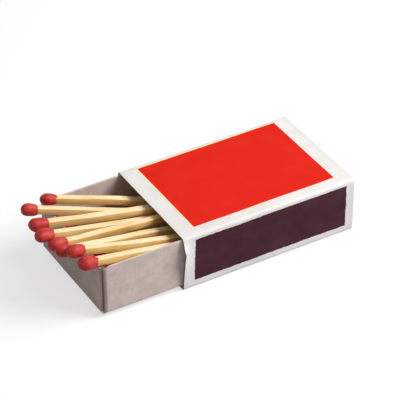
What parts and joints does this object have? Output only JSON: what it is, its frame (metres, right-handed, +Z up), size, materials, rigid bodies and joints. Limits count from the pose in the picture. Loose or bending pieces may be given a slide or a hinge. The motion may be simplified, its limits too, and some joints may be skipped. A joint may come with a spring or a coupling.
{
  "type": "matchbox",
  "caption": "Cardboard matchbox with a sliding tray drawn part way out and wooden matches fanned over its front wall.",
  "frame": {"origin": "middle of the sleeve's underside", "axes": "+X along the slide towards the sleeve's back end, so the tray opens towards -X; +Y across towards the far striking side; +Z up"},
  "size_m": [0.087, 0.0362, 0.0223],
  "materials": {
    "sleeve_card": "matt white-lined folding card",
    "print_red": "solid printed field, satin",
    "striking_coat": "gritty dark striking coat",
    "tray_board": "unbleached grey board",
    "splint_wood": "split aspen, unfinished",
    "match_head": "dried dipped match compound"
  },
  "bodies": {
    "sleeve": {"sleeve": "sleeve_card", "label": "print_red", "striker_near": "striking_coat", "striker_far": "striking_coat"},
    "tray": {"tray": "tray_board", "match_01_head": "match_head", "match_01_splint": "splint_wood", "match_02_head": "match_head", "match_02_splint": "splint_wood", "match_03_head": "match_head", "match_03_splint": "splint_wood", "match_04_head": "match_head", "match_04_splint": "splint_wood", "match_05_head": "match_head", "match_05_splint": "splint_wood", "match_06_head": "match_head", "match_06_splint": "splint_wood", "match_07_head": "match_head", "match_07_splint": "splint_wood", "match_08_head": "match_head", "match_08_splint": "splint_wood", "match_09_head": "match_head", "match_09_splint": "splint_wood", "match_10_head": "match_head", "match_10_splint": "splint_wood", "match_11_head": "match_head", "match_11_splint": "splint_wood", "match_12_head": "match_head", "match_12_splint": "splint_wood", "match_13_head": "match_head", "match_13_splint": "splint_wood", "match_14_head": "match_head", "match_14_splint": "splint_wood", "match_15_head": "match_head", "match_15_splint": "splint_wood", "match_16_head": "match_head", "match_16_splint": "splint_wood", "match_17_head": "match_head", "match_17_splint": "splint_wood", "match_18_head": "match_head", "match_18_splint": "splint_wood", "match_19_head": "match_head", "match_19_splint": "splint_wood", "match_20_head": "match_head", "match_20_splint": "splint_wood", "match_21_head": "match_head", "match_21_splint": "splint_wood", "match_22_head": "match_head", "match_22_splint": "splint_wood", "match_23_head": "match_head", "match_23_splint": "splint_wood", "match_24_head": "match_head", "match_24_splint": "splint_wood", "match_25_head": "match_head", "match_25_splint": "splint_wood", "match_26_head": "match_head", "match_26_splint": "splint_wood", "match_27_head": "match_head", "match_27_splint": "splint_wood"}
  },
  "joints": [
    {"name": "tray_slide", "type": "slide", "parent": "sleeve", "child": "tray", "axis": [-1, 0, 0], "range_m": [-0.007, 0.028]}
  ]
}
